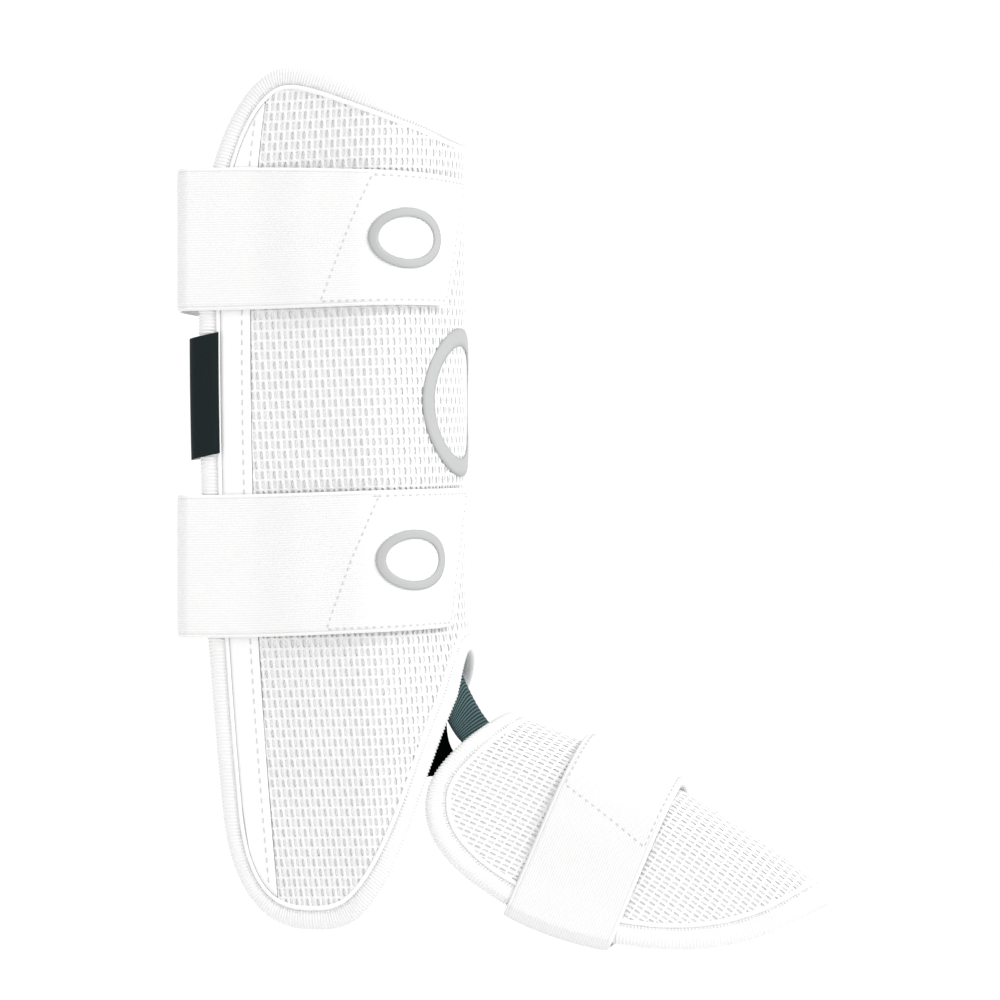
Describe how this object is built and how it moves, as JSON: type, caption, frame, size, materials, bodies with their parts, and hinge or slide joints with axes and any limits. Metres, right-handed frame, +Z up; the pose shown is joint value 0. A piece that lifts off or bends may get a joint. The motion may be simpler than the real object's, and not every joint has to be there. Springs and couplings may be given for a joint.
{
  "type": "batters leg guard",
  "caption": "White padded batter's leg guard with knit face, elastic straps and a foot guard hung on black webbing, in its worn shape for the right leg.",
  "frame": {"origin": "middle of the leg hollow, between the two shin straps", "axes": "+Z up the leg, +X towards the toes, -Y the outer side of the right leg"},
  "size_m": [0.2995, 0.112, 0.3981],
  "materials": {
    "white_fabric": "matt smooth fabric",
    "white_knit": "open knit mesh",
    "white_elastic": "ribbed elastic",
    "grey_print": "satin raised print",
    "black_webbing": "ribbed elastic webbing",
    "black_label": "woven satin label"
  },
  "bodies": {
    "root": {"shin_shell": "white_fabric", "shin_mesh": "white_knit", "shin_facing_outer": "white_fabric", "shin_facing_inner": "white_fabric", "shin_binding": "white_elastic", "shin_badge": "grey_print", "edge_label": "black_label", "upper_strap": "white_elastic", "upper_strap_tab": "white_fabric", "upper_badge": "grey_print", "lower_strap": "white_elastic", "lower_strap_tab": "white_fabric", "lower_badge": "grey_print", "ankle_band_front": "black_webbing", "ankle_band_side": "black_webbing", "foot_shell": "white_fabric", "foot_mesh": "white_knit", "foot_binding": "white_elastic", "foot_strap": "white_elastic", "foot_strap_tab": "white_fabric"}
  },
  "joints": []
}
